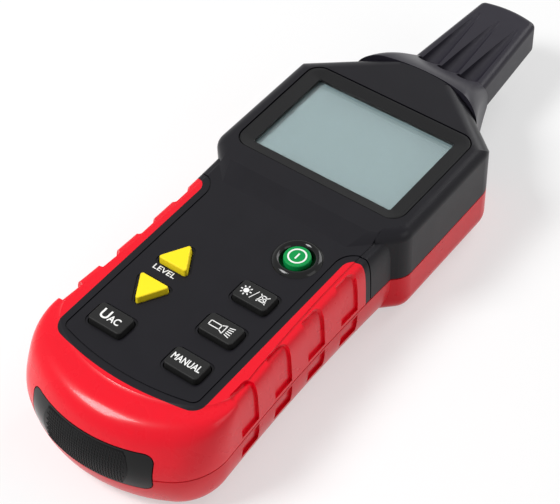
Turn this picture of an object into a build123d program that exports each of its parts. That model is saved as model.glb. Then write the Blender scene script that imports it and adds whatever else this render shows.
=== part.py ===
from build123d import *
import os
from math import sqrt

# Handheld receiver that traces circuits, in millimetres.
# X runs across the face, Y from the tail to the probe tip, Z out of the back.
# The origin is the middle of the back, with the device lying on it.

os.makedirs("parts", exist_ok=True)

# ---------------------------------------------------------------- overall sizes
grip_length = 109.0          # tail to the head's lower edge
head_length = 75.0           # head's lower edge to the collar joint
collar_length = 16.0         # collar joint to the probe
probe_length = 42.0          # probe that stands out of the collar
total_length = grip_length + head_length + collar_length + probe_length

head_height = 38.5           # back to the head's front face
panel_height = 36.2          # back to the keypad face
parting_height = 18.0        # joint between the front and rear housings

# ---------------------------------------------------------------- plan outline
tail_half_width = 37.8
waist_half_width = 34.9
neck_half_width = 35.6
waist_distance = 74.0        # from the tail
neck_distance = grip_length + 11.0   # the grip ends inside the head
tail_bow_radius = 52.0
tail_corner_radius = 19.0

head_half_width = 39.0
head_taper = 0.4             # the head is narrower at its shoulders
head_toe_half_width = 31.5   # lower edge of the head, between its corners
head_corner_rise = 7.5       # lower corners of the head
shoulder_drop = 17.0         # collar joint down to the shoulder corner
head_lower_corner_radius = 7.0
shoulder_radius = 9.0
collar_arc_radius = 53.0     # the joint with the collar is an arc about the device's face
collar_half_width = 26.0     # collar at its joint with the head
collar_joint_half_width = 22.4   # collar where the head's end is furthest out
collar_waist_half_width = 19.0
collar_end_half_width = 16.6
head_front_fillet = 3.8
head_back_fillet = 7.0
shoulder_round = 7.0         # the shoulders round off more than the sides

# ---------------------------------------------------------------- walls
wall = 2.2                   # black front housing and the head of both housings
grip_skin = 1.8              # red overmould and tail cap
rear_wall = 2.6
joint_line = 0.45            # shadow gap round the parting line
collar_gap = 0.7             # shadow gap between the head and the collar
cap_gap = 0.3                # shadow gap round the tail cap
fit_gap = 0.15               # between fixed pieces that drop into each other

# ---------------------------------------------------------------- keypad panel
panel_half_width = 28.8
panel_tail_distance = 18.9
panel_tail_bow = 96.0        # radius of the panel's tail edge
panel_corner_radius = 5.5
tongue_distance = grip_length - 9.6  # red tongues end here
tongue_radius = 4.6
rim_width = 2.4              # panel edge to its groove
groove_width = 0.5
groove_depth = 0.4
ramp_run = 8.0               # slope from the keypad up to the head
ramp_half_width = 25.0
ramp_crest = 1.4             # the ramp tops out this far past the head's lower edge
ramp_flare = 6.0             # it spreads this far out to each side
ramp_crest_flare = 3.0
ramp_side_run = 5.6          # length over which its sides spread

# ---------------------------------------------------------------- finger recesses
recess_count = 4
recess_pitch = 17.7
recess_first = 42.0          # head-side wall of the recess nearest the tail
recess_length = 9.0
recess_depth = 0.9
recess_strip = 3.2           # red strip between the panel and each recess
recess_joint = 1.3           # each recess stops this far from the parting line
recess_head_radius = 2.4     # round inner corner at the head side
recess_tail_radius = 1.2
rear_recess_low = 8.5

# ---------------------------------------------------------------- display
bezel_half_width = head_half_width - 5.4
bezel_low = grip_length + 9.4        # distances from the tail
bezel_high = bezel_low + 47.4
bezel_radius = 5.5
bezel_thickness = 2.1
window_half_width = bezel_half_width - 5.8
window_low = bezel_low + 4.2
window_high = bezel_high - 5.3
window_ledge = 1.6           # the window reaches this far under the bezel
window_thickness = 1.5
window_corner = 0.8
bezel_gap = 0.35             # shows as a dark line round the frame
bezel_sink = 0.1             # frame's face below the head's
bezel_edge = 0.4
bezel_slope = 4.2            # width of the slope down to the window
bezel_dip = 0.8
lcd_margin = 1.2             # display glass past the window's edge
lcd_frame_wall = 1.6
connector_depth = 2.0
connector_half_length = 25.0
lcd_thickness = 2.4
lcd_gap = 0.15               # window to display glass
backlight_thickness = 3.6
head_ledge = 1.8             # material under the frame's pocket

# ---------------------------------------------------------------- buttons
button_gap = 0.3             # round each button in its hole
button_travel = 0.8
press_clearance = 0.2        # left above the switch when a button is fully down
key_width = 13.4
key_depth = 8.25
key_radius = 1.6
key_height = 1.9             # above the panel
key_recess = 0.35            # shallow moulded well round each key
key_recess_margin = 1.1
flange_margin = 0.9          # rubber flange that holds a button under the panel
flange_thickness = 1.2
stem_radius = 2.0
column_offset = 15.0         # button columns either side of the middle
row_low = 34.8
row_middle = 51.4
row_high = 68.0
level_offset = -14.2
level_up_base = 62.8
level_down_base = 55.4
level_half_base = 6.4
level_rise = 10.8
level_radius = 1.0
level_height = 1.9
power_offset = 15.6
power_distance = 89.1
power_radius = 4.7
power_height = 1.4
button_draft = 4.0
button_edge = 0.5
ring_radius = 8.4
ring_height = 1.2
ring_seat_radius = 6.6

# ---------------------------------------------------------------- board and switches
board_thickness = 1.6
board_top = 27.4
board_tail = 27.0            # distances from the tail
board_head = grip_length + head_length - 16.5
board_step = grip_length + 7.0       # the board widens here
board_gap = 1.4              # board to the housing wall
board_corner = 6.0
board_post_radius = 2.4
panel_pocket_inset = 4.6     # the cavity under the keypad stands in this far
switch_width = 6.0
switch_body = 2.2
switch_plunger = 0.7
buzzer_radius = 6.0
buzzer_height = 4.0
mat_thickness = 1.2
mat_gap = 0.4                # round each button's flange
mat_margin = 0.4             # mat to the sides of its pocket
mat_rim = 2.0                # mat past the power key's ring

# ---------------------------------------------------------------- tail cap
cap_half_width = 23.6
cap_low = 12.8
cap_high = 27.2
cap_radius = 3.2
cap_reach = 22.0             # how far in from the tail its pocket may run

# ---------------------------------------------------------------- probe
probe_low = 14.2
probe_high = 27.6
collar_front = probe_high + 0.6    # front of the collar at the probe
probe_base_half_width = 15.2
probe_tip_half_width = 11.6
probe_tip_radius = 37.0
probe_fillet = 2.2
probe_corner_radius = 2.6
collar_fillet = 5.0
collar_low = 1.0             # back of the collar at its joint
probe_wall = 1.6
probe_side_wall = 2.8
tip_wall = 3.4
flute_count = 3
flute_pitch = 8.1
flute_radius = 3.6
flute_end_radius = 1.2
flute_length = 35.0
flute_start = -1.2           # from the collar's end, towards the tip
spigot_length = 6.6          # past the head's end wall
spigot_half_width = 19.0
spigot_low = 8.0
spigot_high = 30.0

# ---------------------------------------------------------------- sensor and torch
rod_radius = 2.0
rod_length = 28.0
bobbin_wall = 0.6
bobbin_flange_radius = 3.1
bobbin_flange = 1.2
lens_radius = 2.4
lens_flange_radius = 3.0
lens_flange = 1.0
led_radius = 2.2
led_length = 6.0

# ---------------------------------------------------------------- power
cell_radius = 5.1
cell_length = 43.3
cell_nub = 0.9
cell_pitch = 2 * cell_radius + 0.6
cell_rows = 6
cell_centre_height = rear_wall + cell_radius + 0.6
bay_start = 20.6             # from the tail to the side of the first cell's place
cell_first = bay_start + cell_pitch / 2
spring_room = 3.4
contact_thickness = 0.5
tray_wall = 1.4
door_thickness = 1.8
door_margin = 2.6            # the door reaches this far past the tray's mouth
door_head_depth = 1.1        # countersink for the door screw
door_rib_count = 4
door_rib_pitch = 3.0
door_rib_length = 24.0
door_rib_width = 1.2
door_rib_depth = 0.5

# ---------------------------------------------------------------- fasteners
screw_radius = 1.4
screw_head_radius = 2.6
screw_head_height = 1.8
screw_length = 20.0
screw_head_depth = 2.6       # from the back face to the underside of the head
post_radius = 3.6
bore_gap = 0.05
tail_screw_offset = 20.0
tail_screw_distance = 15.0
neck_screw_offset = 27.0
head_screw_offset = 21.0
head_screw_distance = grip_length + head_length - 11.5
door_post_height = 10.0
door_screw_length = 9.0
board_screw_radius = 1.0
board_screw_head_radius = 1.9
board_screw_length = 5.0
board_screw_offset = 26.4


def along(distance):
    """Y of a point that lies this far from the tail."""
    return distance - total_length / 2


# Share of the height, how far the sides stand in, and how far the tail stands in, from back to front.
grip_levels = [
    (0.000, 6.5, 7.8),
    (0.033, 4.9, 5.8),
    (0.110, 2.7, 3.3),
    (0.235, 1.0, 1.3),
    (0.373, 0.2, 0.2),
    (0.497, 0.0, 0.0),
    (0.635, 0.0, 0.9),
    (0.773, 0.1, 2.9),
    (0.880, 0.4, 5.0),
    (0.939, 0.9, 7.2),
    (0.978, 1.9, 10.6),
    (1.000, 3.9, 17.4),
]


def grip_outline(height, side_inset, tail_inset):
    """Plan outline of the grip: bowed tail, waisted sides, square neck."""
    tip = along(tail_inset)
    tail_half = tail_half_width - side_inset
    corner = tip + tail_bow_radius - sqrt(tail_bow_radius**2 - tail_half**2)
    waist = (waist_half_width - side_inset, along(waist_distance))
    neck_half = neck_half_width - side_inset
    neck = along(neck_distance)
    with BuildSketch(Plane.XY.offset(height)) as outline:
        with BuildLine():
            ThreePointArc((-tail_half, corner), (0, tip), (tail_half, corner))
            ThreePointArc((tail_half, corner), waist, (neck_half, neck))
            Line((neck_half, neck), (-neck_half, neck))
            ThreePointArc((-neck_half, neck), (-waist[0], waist[1]), (-tail_half, corner))
        make_face()
        fillet(outline.vertices().group_by(Axis.Y)[0], tail_corner_radius - side_inset)
    return outline.sketch


def grip_form(skin=0.0):
    """Solid grip whose surface lies this far inside the outer one."""
    with BuildPart() as form:
        for share, side_inset, tail_inset in grip_levels:
            height = skin + share * (panel_height - 2 * skin)
            add(grip_outline(height, side_inset + skin, tail_inset + skin))
        loft()
    return form.part


def head_outline(inset=0.0):
    """Plan outline of the head: square lower corners, sloping shoulders, bowed end."""
    low = along(grip_length)
    end = along(grip_length + head_length)
    arc_centre = end - collar_arc_radius
    shoulder_end = arc_centre + sqrt(collar_arc_radius**2 - collar_half_width**2)
    with BuildSketch() as outline:
        with BuildLine():
            right = Polyline(
                (0, low),
                (head_toe_half_width, low),
                (head_half_width, low + head_corner_rise),
                (head_half_width - head_taper, end - shoulder_drop),
                (collar_half_width, shoulder_end),
            )
            ThreePointArc(right @ 1, (0, end), (-collar_half_width, shoulder_end))
            mirror(right, about=Plane.YZ)
        make_face()
        lower = outline.vertices().filter_by_position(Axis.Y, low + 1, low + head_corner_rise + 1)
        fillet(lower, head_lower_corner_radius)
        upper = outline.vertices().filter_by_position(
            Axis.Y, end - shoulder_drop - 1, end - shoulder_drop + 1)
        fillet(upper, shoulder_radius)
        if inset:
            offset(amount=-inset, kind=Kind.INTERSECTION)
    return outline.sketch


def shoulder_cut(side):
    """What the moulding's wide round takes off the front edge of one shoulder."""
    corner = (head_half_width - head_taper, along(grip_length + head_length - shoulder_drop))
    arc_y = along(grip_length + head_length) - collar_arc_radius
    run_x = collar_half_width - corner[0]
    run_y = arc_y + sqrt(collar_arc_radius**2 - collar_half_width**2) - corner[1]
    length = sqrt(run_x**2 + run_y**2)
    start = Plane(
        (side * corner[0], corner[1], head_height), x_dir=(side * run_y / length, -run_x / length, 0),
        z_dir=(side * run_x / length, run_y / length, 0))
    edge = shoulder_round
    up = 1 if start.y_dir.Z > 0 else -1
    with BuildPart() as cut:
        with BuildSketch(start.offset(-length)):
            with BuildLine():
                ThreePointArc(
                    (-edge, 0), (-edge + edge * sqrt(0.5), -up * edge * (1 - sqrt(0.5))), (0, -up * edge))
                Polyline(
                    (0, -up * edge), (edge, -up * edge), (edge, up * edge), (-edge, up * edge), (-edge, 0))
            make_face()
        extrude(amount=3 * length)
    return cut.part


def head_front():
    with BuildPart() as form:
        add(head_outline())
        extrude(amount=head_height - parting_height)
        rim = form.faces().sort_by(Axis.Z)[-1].edges().sort_by(Axis.Y)[:-1]
        fillet(rim, head_front_fillet)
    with BuildPart() as rounded:
        add(Pos(0, 0, parting_height) * form.part)
        for side in (-1, 1):
            add(shoulder_cut(side), mode=Mode.SUBTRACT)
    return rounded.part


def head_rear(skin=0.0):
    """Back half of the head, or its hollow when it lies this far inside."""
    with BuildPart() as form:
        add(head_outline(skin))
        extrude(amount=parting_height - skin)
        rim = form.faces().sort_by(Axis.Z)[0].edges().sort_by(Axis.Y)[:-1]
        fillet(rim, head_back_fillet - skin)
    return Pos(0, 0, skin) * form.part


def ramp_form():
    """Wedge from the keypad face up to the head's front face."""
    crest = along(grip_length + ramp_crest)
    foot = crest - ramp_run
    back = crest + head_front_fillet + 1
    outer_edge = ramp_half_width + ramp_flare
    crest_edge = ramp_half_width + ramp_crest_flare
    lower = [
        (-ramp_half_width, foot), (ramp_half_width, foot), (outer_edge, foot + ramp_side_run),
        (outer_edge, back), (-outer_edge, back), (-outer_edge, foot + ramp_side_run),
    ]
    upper = [
        (-crest_edge, crest), (crest_edge, crest), (outer_edge, crest + ramp_crest), (outer_edge, back),
        (-outer_edge, back), (-outer_edge, crest + ramp_crest),
    ]
    with BuildPart() as form:
        for height, points in ((panel_height - 1, lower), (panel_height, lower), (head_height, upper)):
            with BuildSketch(Plane.XY.offset(height)):
                Polygon(*points, align=None)
        loft(ruled=True)
    return form.part


def panel_outline(inset=0.0):
    """Black keypad face between the red sides, running up round the tongue ends."""
    low = along(panel_tail_distance)
    bow_centre = low + panel_tail_bow
    side_low = bow_centre - sqrt(panel_tail_bow**2 - panel_half_width**2)
    tongue = along(tongue_distance)
    far = head_half_width + 10
    top = along(neck_distance)
    with BuildSketch() as outline:
        with BuildLine():
            right = Polyline(
                (panel_half_width, side_low), (panel_half_width, tongue), (far, tongue), (far, top), (0, top))
            mirror(right, about=Plane.YZ)
            ThreePointArc((-panel_half_width, side_low), (0, low), (panel_half_width, side_low))
        make_face()
        fillet(outline.vertices().group_by(Axis.Y)[0], panel_corner_radius)
        inner = outline.vertices().filter_by_position(Axis.Y, tongue - 0.1, tongue + 0.1)
        inner = inner.filter_by_position(Axis.X, -far + 1, far - 1)
        fillet(inner, tongue_radius)
        if inset:
            offset(amount=-inset, kind=Kind.INTERSECTION)
    return outline.sketch


def prism(sketch, low, high):
    """Solid over a flat outline between two heights."""
    with BuildPart() as block:
        with BuildSketch(Plane.XY.offset(low)):
            add(sketch)
        extrude(amount=high - low)
    return block.part


def recess_blocks(low, top):
    """Blocks outside both sides of the grip, one for each finger recess."""
    inner = panel_half_width + recess_strip
    outer_edge = head_half_width + 4
    with BuildPart() as blocks:
        with BuildSketch(Plane.XY.offset(low)) as windows:
            for index in range(recess_count):
                wall_y = along(recess_first + index * recess_pitch)
                tail_y = wall_y - recess_length
                with BuildLine():
                    Polyline(
                        (inner, tail_y), (outer_edge, tail_y), (outer_edge, wall_y), (inner, wall_y),
                        close=True)
                make_face()
                for y, radius in ((wall_y, recess_head_radius), (tail_y, recess_tail_radius)):
                    fillet(windows.vertices().sort_by_distance((inner, y, 0))[0], radius)
        extrude(amount=top - low)
        mirror(about=Plane.YZ)
        add(recess_floor, mode=Mode.SUBTRACT)
    return blocks.part


def cap_block(margin=0.0):
    """Block through the tail with the outline of the tail cap."""
    with BuildPart() as block:
        with BuildSketch(Plane.XZ.offset(-along(-2))):
            with Locations((0, (cap_low + cap_high) / 2)):
                RectangleRounded(
                    2 * (cap_half_width + margin), cap_high - cap_low + 2 * margin, cap_radius + margin)
        extrude(amount=-cap_reach)
    return block.part


def rounded_plate(half_width, low, high, radius, bottom, top):
    """Plate with round corners, between two distances from the tail and two heights."""
    with BuildPart() as plate:
        with BuildSketch(Plane.XY.offset(bottom)):
            with Locations((0, along((low + high) / 2))):
                RectangleRounded(2 * half_width, high - low, radius)
        extrude(amount=top - bottom)
    return plate.part


def block(x_range, y_range, z_range):
    """Plain block between two corners."""
    with BuildPart() as solid:
        with Locations(((sum(x_range)) / 2, sum(y_range) / 2, sum(z_range) / 2)):
            Box(x_range[1] - x_range[0], y_range[1] - y_range[0], z_range[1] - z_range[0])
    return solid.part


def posts(places, radius, bottom, top):
    """Upright cylinders at the given places."""
    with BuildPart() as cylinders:
        with BuildSketch(Plane.XY.offset(bottom)):
            with Locations(*places):
                Circle(radius)
        extrude(amount=top - bottom)
    return cylinders.part


def round_bar(z, low, high, radius):
    """Round bar on the middle line, between two Y values."""
    with BuildPart() as bar:
        with BuildSketch(Plane.XZ.offset(-low)):
            with Locations((0, z)):
                Circle(radius)
        extrude(amount=-(high - low))
    return bar.part


def save(builder, name):
    """Name a finished piece and write it."""
    builder.part.label = name
    export_step(builder.part, f"parts/{name}.step")


# ---------------------------------------------------------------- shared forms
outer = grip_form()
liner = grip_form(grip_skin)
groove_floor = grip_form(groove_depth)
recess_floor = grip_form(recess_depth)
core = grip_form(grip_skin + wall)
rear_core = grip_form(rear_wall)

# ---------------------------------------------------------------- heights inside
panel_ceiling = panel_height - wall
bezel_floor = head_height - bezel_thickness
head_ceiling = bezel_floor - head_ledge
window_low_face = bezel_floor - window_thickness
lcd_top = window_low_face - lcd_gap
lcd_low = lcd_top - lcd_thickness
backlight_low = lcd_low - backlight_thickness
board_low = board_top - board_thickness
switch_top = board_top + switch_body + switch_plunger
stem_low = switch_top + press_clearance + button_travel
flange_low = panel_ceiling - flange_thickness

# ---------------------------------------------------------------- widths inside
pocket_half_width = panel_half_width - panel_pocket_inset
pocket_low = panel_tail_distance + panel_pocket_inset
board_grip_half_width = waist_half_width - grip_skin - wall - board_gap
board_head_half_width = head_half_width - head_taper - wall - board_gap

# ---------------------------------------------------------------- lengths inside
head_end = along(grip_length + head_length)
arc_centre = head_end - collar_arc_radius
collar_end = head_end + collar_length
probe_tip = collar_end + probe_length

# ---------------------------------------------------------------- battery bay
bay_half_length = (cell_length + cell_nub + spring_room) / 2 + contact_thickness
bay_low = cell_first - cell_pitch / 2 - fit_gap
bay_high = cell_first + (cell_rows - 0.5) * cell_pitch + fit_gap
tray_top = cell_centre_height + cell_radius + 0.3 + tray_wall
door_screw_distance = bay_high + tray_wall + post_radius + 1
door_low = bay_low - door_margin
door_high = door_screw_distance + post_radius
# the neck screws stay clear of the door, however long the cells make it
neck_screw_distance = max(grip_length - 1.0, door_high + screw_head_radius + 1.0)


def tray_block(margin=0.0):
    """Outside of the battery tray, grown sideways by a margin."""
    return block(
        (-bay_half_length - tray_wall - margin, bay_half_length + tray_wall + margin),
        (along(bay_low) - tray_wall - margin, along(bay_high) + tray_wall + margin), (rear_wall, tray_top))


# ---------------------------------------------------------------- fastener places
housing_screw_places = [
    (side * offset, along(distance))
    for offset, distance in (
        (tail_screw_offset, tail_screw_distance),
        (neck_screw_offset, neck_screw_distance),
        (head_screw_offset, head_screw_distance))
    for side in (-1, 1)
]
board_screw_places = [
    (side * offset, along(distance))
    for offset, distance in ((board_screw_offset, 60.0), (20.0, grip_length + 8.5))
    for side in (-1, 1)
]


# ---------------------------------------------------------------- buttons: outlines
key_places = {
    "voltage_button": (-column_offset, row_low),
    "manual_button": (column_offset, row_low),
    "torch_button": (column_offset, row_middle),
    "light_mute_button": (column_offset, row_high),
}
level_places = {
    "level_up_button": (level_up_base, 1),
    "level_down_button": (level_down_base, -1),
}


def button_outline(name, margin=0.0):
    """Plan outline of a button, grown by a margin."""
    with BuildSketch() as outline:
        if name in key_places:
            x, distance = key_places[name]
            with Locations((x, along(distance))):
                RectangleRounded(key_width, key_depth, key_radius)
        elif name in level_places:
            base, direction = level_places[name]
            foot = along(base)
            Polygon(
                (level_offset - direction * level_half_base, foot),
                (level_offset + direction * level_half_base, foot),
                (level_offset, foot + direction * level_rise), align=None)
            fillet(outline.vertices(), level_radius)
        else:
            with Locations((power_offset, along(power_distance))):
                Circle(power_radius)
        if margin:
            offset(amount=margin)
    return outline.sketch


def button_centre(name):
    """Where a button presses its switch."""
    if name in key_places:
        x, distance = key_places[name]
        return (x, along(distance))
    if name in level_places:
        base, direction = level_places[name]
        return (level_offset, along(base + direction * level_rise / 3))
    return (power_offset, along(power_distance))


button_heights = {name: key_height for name in key_places}
button_heights.update({name: level_height for name in level_places})
button_heights["power_button"] = power_height
button_names = list(button_heights)


# ---------------------------------------------------------------- front housing
with BuildPart() as front_cavity:
    add(core)
    add(rounded_plate(
        pocket_half_width, pocket_low, neck_distance, panel_corner_radius, board_low, panel_ceiling))
    split(bisect_by=Plane.XY.offset(parting_height), keep=Keep.TOP)
    add(prism(head_outline(wall), parting_height, head_ceiling))
    add(posts(housing_screw_places, post_radius, parting_height, head_height), mode=Mode.SUBTRACT)
    add(posts(board_screw_places, board_post_radius, board_top, head_height), mode=Mode.SUBTRACT)

with BuildPart() as rim_groove:
    add(prism(panel_outline(rim_width), parting_height, head_height))
    add(prism(panel_outline(rim_width + groove_width), parting_height, head_height), mode=Mode.SUBTRACT)
    add(groove_floor, mode=Mode.SUBTRACT)
    add(head_front(), mode=Mode.SUBTRACT)
    add(ramp_form(), mode=Mode.SUBTRACT)

with BuildPart() as front_housing:
    add(outer)
    add(prism(panel_outline(), 0, head_height), mode=Mode.INTERSECT)
    add(liner)
    split(bisect_by=Plane.XY.offset(parting_height), keep=Keep.TOP)
    add(head_front())
    add(ramp_form())
    add(front_cavity.part, mode=Mode.SUBTRACT)
    add(rim_groove.part, mode=Mode.SUBTRACT)
    # pocket for the display frame, and the opening for the window below it
    add(rounded_plate(bezel_half_width, bezel_low, bezel_high, bezel_radius, bezel_floor, head_height + 1),
        mode=Mode.SUBTRACT)
    add(rounded_plate(
        window_half_width + window_ledge + fit_gap, window_low - window_ledge - fit_gap,
        window_high + window_ledge + fit_gap, 1.0, head_ceiling - 1, head_height), mode=Mode.SUBTRACT)
    # opening in the end wall for the probe's spigot
    add(block((-spigot_half_width, spigot_half_width), (head_end - 12, head_end + 1),
              (parting_height - 1, spigot_high)), mode=Mode.SUBTRACT)
    # button holes and the shallow wells round the keys
    for name in button_names:
        if name != "power_button":
            add(prism(button_outline(name, button_gap), panel_ceiling - 1, head_height), mode=Mode.SUBTRACT)
            add(prism(button_outline(name, key_recess_margin), panel_height - key_recess, head_height),
                mode=Mode.SUBTRACT)
    add(posts([(power_offset, along(power_distance))], ring_seat_radius, panel_ceiling - 1, head_height),
        mode=Mode.SUBTRACT)
    add(posts(housing_screw_places, screw_radius + bore_gap, parting_height - 1,
              screw_head_depth + screw_length + 1), mode=Mode.SUBTRACT)
    add(posts(board_screw_places, board_screw_radius + bore_gap, board_low,
              board_low + board_screw_length + 1), mode=Mode.SUBTRACT)
save(front_housing, "front_housing")

# ---------------------------------------------------------------- red grip
with BuildPart() as front_grip:
    add(outer)
    split(bisect_by=Plane.XY.offset(parting_height), keep=Keep.TOP)
    add(liner, mode=Mode.SUBTRACT)
    add(prism(panel_outline(), 0, head_height), mode=Mode.SUBTRACT)
    add(recess_blocks(parting_height + recess_joint, head_height), mode=Mode.SUBTRACT)
    add(cap_block(cap_gap), mode=Mode.SUBTRACT)
save(front_grip, "front_grip")

# ---------------------------------------------------------------- rear housing
with BuildPart() as rear_cavity:
    add(rear_core)
    split(bisect_by=Plane.XY.offset(parting_height), keep=Keep.BOTTOM)
    add(head_rear(rear_wall))
    add(tray_block(fit_gap))
    add(posts(housing_screw_places, post_radius, 0, parting_height), mode=Mode.SUBTRACT)
    add(posts([(0, along(door_screw_distance))], post_radius, 0, door_post_height), mode=Mode.SUBTRACT)

with BuildPart() as parting_groove:
    add(block((-60, 60), (along(-5), head_end + 1), (parting_height - joint_line, parting_height)))
    add(grip_form(joint_line), mode=Mode.SUBTRACT)
    add(prism(head_outline(joint_line), 0, head_height), mode=Mode.SUBTRACT)

with BuildPart() as cap_pocket:
    add(cap_block(cap_gap))
    add(liner, mode=Mode.SUBTRACT)

with BuildPart() as rear_housing:
    add(outer)
    split(bisect_by=Plane.XY.offset(parting_height), keep=Keep.BOTTOM)
    add(head_rear())
    add(rear_cavity.part, mode=Mode.SUBTRACT)
    add(parting_groove.part, mode=Mode.SUBTRACT)
    add(recess_blocks(rear_recess_low, parting_height - recess_joint), mode=Mode.SUBTRACT)
    add(cap_pocket.part, mode=Mode.SUBTRACT)
    add(block((-spigot_half_width, spigot_half_width), (head_end - 12, head_end + 1),
              (spigot_low, parting_height + 1)), mode=Mode.SUBTRACT)
    # mouth of the battery bay and the seat of its door
    add(block((-bay_half_length, bay_half_length), (along(bay_low), along(bay_high)), (-1, rear_wall + 1)),
        mode=Mode.SUBTRACT)
    add(block((-bay_half_length - door_margin - fit_gap, bay_half_length + door_margin + fit_gap),
              (along(bay_low - door_margin - fit_gap), along(door_screw_distance + post_radius + fit_gap)),
              (-1, door_thickness)), mode=Mode.SUBTRACT)
    add(posts(housing_screw_places, screw_radius + bore_gap, -1, parting_height + 1), mode=Mode.SUBTRACT)
    add(posts(housing_screw_places, screw_head_radius + 0.3, -1, screw_head_depth), mode=Mode.SUBTRACT)
    add(posts([(0, along(door_screw_distance))], screw_radius + bore_gap, -1, door_screw_length),
        mode=Mode.SUBTRACT)
save(rear_housing, "rear_housing")

# ---------------------------------------------------------------- tail cap
with BuildPart() as tail_cap:
    add(outer)
    add(liner, mode=Mode.SUBTRACT)
    add(cap_block(), mode=Mode.INTERSECT)
save(tail_cap, "tail_cap")

# ---------------------------------------------------------------- probe and collar
collar_start = arc_centre + sqrt(collar_arc_radius**2 - collar_half_width**2)
# Cross-sections of the collar: place, half width, back, front and corner radius.
collar_sections = (
    (collar_start, collar_half_width, collar_low, head_height, shoulder_round),
    (head_end, collar_joint_half_width, collar_low + 1.4, head_height - 0.2, shoulder_round),
    (head_end + collar_length / 2, collar_waist_half_width, (collar_low + probe_low) / 2,
     (head_height + collar_front) / 2 + 0.8, collar_fillet + 0.8),
    (collar_end, collar_end_half_width, probe_low, collar_front, collar_fillet),
)

with BuildPart() as collar:
    for y, half_width, back, front, corner in collar_sections:
        with BuildSketch(Plane.XZ.offset(-y)):
            with Locations((0, (back + front) / 2)):
                RectangleRounded(2 * half_width, front - back, corner)
    loft()
    add(posts([(0, arc_centre)], collar_arc_radius + collar_gap, -1, head_height + 1), mode=Mode.SUBTRACT)

probe_start = collar_end - 3.0
tip_corner = probe_tip - probe_tip_radius + sqrt(probe_tip_radius**2 - probe_tip_half_width**2)

with BuildPart() as probe:
    with BuildSketch(Plane.XY.offset(probe_low)) as probe_plan:
        with BuildLine():
            Line((probe_base_half_width, probe_start), (probe_tip_half_width, tip_corner))
            ThreePointArc(
                (probe_tip_half_width, tip_corner), (0, probe_tip), (-probe_tip_half_width, tip_corner))
            Line((-probe_tip_half_width, tip_corner), (-probe_base_half_width, probe_start))
            Line((-probe_base_half_width, probe_start), (probe_base_half_width, probe_start))
        make_face()
        fillet(probe_plan.vertices().group_by(Axis.Y)[-1], probe_corner_radius)
    extrude(amount=probe_high - probe_low)
    rims = probe.faces().filter_by(Axis.Z).edges().filter_by(lambda e: e.center().Y > probe_start + 1)
    fillet(rims, probe_fillet)

flute_rise = flute_end_radius / flute_length
flute_centres = [(index - (flute_count - 1) / 2) * flute_pitch for index in range(flute_count)]
flute_floor = probe_high - flute_radius + 0.3
hollow_low = probe_low + probe_wall
hollow_high = probe_high - flute_radius - probe_wall
hollow_centre = (hollow_low + hollow_high) / 2
hollow_half_width = probe_base_half_width - probe_side_wall
hollow_tip_half_width = probe_tip_half_width - probe_side_wall

with BuildPart() as probe_cover:
    add(collar.part)
    add(probe.part)
    add(block(
        (-spigot_half_width + fit_gap, spigot_half_width - fit_gap),
        (head_end - wall - spigot_length, head_end + collar_gap + 1),
        (spigot_low + fit_gap, spigot_high - fit_gap)))
    for centre in flute_centres:
        scoop = Plane(
            (centre, collar_end + flute_start, probe_high), x_dir=(1, 0, 0), z_dir=(0, 1, flute_rise))
        add(posts([(centre, collar_end + flute_start)], flute_radius + 0.1, flute_floor, head_height),
            mode=Mode.SUBTRACT)
        with Locations(scoop):
            Cone(flute_radius, flute_end_radius, flute_length,
                 align=(Align.CENTER, Align.CENTER, Align.MIN), mode=Mode.SUBTRACT)
    with BuildSketch(Plane.XY.offset(hollow_low)):
        with BuildLine():
            Polyline(
                (hollow_half_width, arc_centre), (hollow_half_width, collar_end),
                (hollow_tip_half_width, probe_tip - tip_wall), (-hollow_tip_half_width, probe_tip - tip_wall),
                (-hollow_half_width, collar_end), (-hollow_half_width, arc_centre), close=True)
        make_face()
    extrude(amount=hollow_high - hollow_low, mode=Mode.SUBTRACT)
    add(round_bar(hollow_centre, probe_tip - tip_wall - 1, probe_tip + 1, lens_radius + fit_gap),
        mode=Mode.SUBTRACT)
save(probe_cover, "probe_cover")

# ---------------------------------------------------------------- torch in the tip
lens_seat = probe_tip - tip_wall
with BuildPart() as torch_lens:
    add(round_bar(hollow_centre, lens_seat, probe_tip - 0.3, lens_radius))
    add(round_bar(hollow_centre, lens_seat - lens_flange, lens_seat, lens_flange_radius))
save(torch_lens, "torch_lens")

led_front = lens_seat - lens_flange
with BuildPart() as torch_led:
    add(round_bar(hollow_centre, led_front - led_length, led_front, led_radius))
    add(round_bar(hollow_centre, led_front - led_length, led_front - led_length + 1, led_radius + 0.5))
save(torch_led, "torch_led")

# ---------------------------------------------------------------- sensing coil
rod_high = led_front - led_length - 0.5
rod_low = rod_high - rod_length
tube_radius = rod_radius + bore_gap + bobbin_wall
with BuildPart() as ferrite_rod:
    add(round_bar(hollow_centre, rod_low, rod_high, rod_radius))
save(ferrite_rod, "ferrite_rod")

with BuildPart() as coil_bobbin:
    add(round_bar(hollow_centre, rod_low + 0.5, rod_high - 0.5, tube_radius))
    add(round_bar(hollow_centre, rod_low + 0.5, rod_low + 0.5 + bobbin_flange, bobbin_flange_radius))
    add(round_bar(hollow_centre, rod_high - 0.5 - bobbin_flange, rod_high - 0.5, bobbin_flange_radius))
    add(round_bar(hollow_centre, rod_low, rod_high, rod_radius + bore_gap), mode=Mode.SUBTRACT)
save(coil_bobbin, "coil_bobbin")

coil_low = rod_low + 0.5 + bobbin_flange
coil_high = rod_high - 0.5 - bobbin_flange
with BuildPart() as sensor_coil:
    add(round_bar(hollow_centre, coil_low, coil_high, bobbin_flange_radius - 0.3))
    add(round_bar(hollow_centre, coil_low, coil_high, tube_radius + 0.02), mode=Mode.SUBTRACT)
save(sensor_coil, "sensor_coil")

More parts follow.
